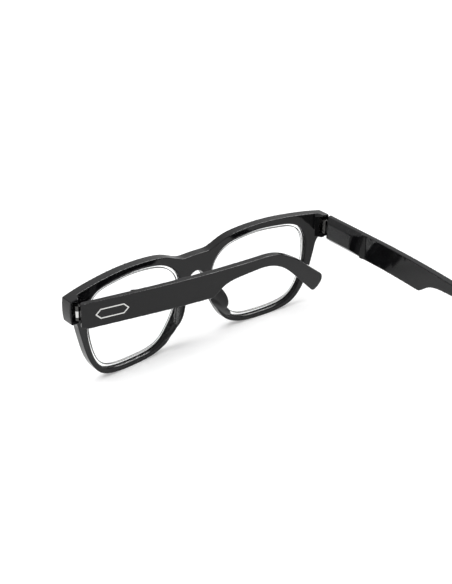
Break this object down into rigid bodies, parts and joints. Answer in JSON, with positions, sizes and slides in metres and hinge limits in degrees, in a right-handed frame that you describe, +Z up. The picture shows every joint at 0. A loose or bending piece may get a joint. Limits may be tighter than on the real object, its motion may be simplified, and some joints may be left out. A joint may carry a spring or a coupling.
{
  "type": "spectacles",
  "caption": "Full-rim rectangular spectacles with broad straight temples on spring hinges, one temple folded and one open.",
  "frame": {"origin": "centre of the bounding box at the level the spectacles rest on, in the pose they are stored in", "axes": "+X to the wearer's left along the width of the front, +Y rearwards towards the open temple's tip, +Z up, away from the surface they stand on"},
  "size_m": [0.1412, 0.1348, 0.0476],
  "materials": {
    "frame_black": "moulded black, semi-gloss",
    "lens_clear": "clear, polished",
    "hinge_steel": "satin, tumbled",
    "spring_steel": "bright drawn wire",
    "mark_white": "matt white inlay"
  },
  "bodies": {
    "front": {"front_frame": "frame_black", "left_lens": "lens_clear", "right_lens": "lens_clear", "left_hinge_leaf": "hinge_steel", "left_hinge_screw": "hinge_steel", "right_hinge_leaf": "hinge_steel", "right_hinge_screw": "hinge_steel"},
    "left_slider": {"left_hinge_slider": "hinge_steel", "left_slider_stop": "hinge_steel"},
    "left_side": {"left_temple": "frame_black", "left_temple_mark": "mark_white", "left_spring_housing": "hinge_steel", "left_hinge_spring": "spring_steel"},
    "right_slider": {"right_hinge_slider": "hinge_steel", "right_slider_stop": "hinge_steel"},
    "right_side": {"right_temple": "frame_black", "right_spring_housing": "hinge_steel", "right_hinge_spring": "spring_steel"}
  },
  "joints": [
    {"name": "left_fold", "type": "hinge", "parent": "front", "child": "left_slider", "pos_m": [0.06738, -0.04974, 0.03803], "axis": [0, 0.157, 0.9876], "range_deg": [-84.8, 6]},
    {"name": "right_fold", "type": "hinge", "parent": "front", "child": "right_slider", "pos_m": [-0.06724, -0.04974, 0.03803], "axis": [0, -0.157, -0.9876], "range_deg": [-5, 58]},
    {"name": "left_spring_travel", "type": "slide", "parent": "left_slider", "child": "left_side", "axis": [-0.9842, 0.1749, -0.0278], "range_m": [0, 0.0012], "stiffness_N_per_m": 1500, "springref_m": -0.001, "deforming": ["left_hinge_spring"]},
    {"name": "right_spring_travel", "type": "slide", "parent": "right_slider", "child": "right_side", "axis": [0, 0.9876, -0.157], "range_m": [0, 0.0012], "stiffness_N_per_m": 1500, "springref_m": -0.001, "deforming": ["right_hinge_spring"]}
  ]
}
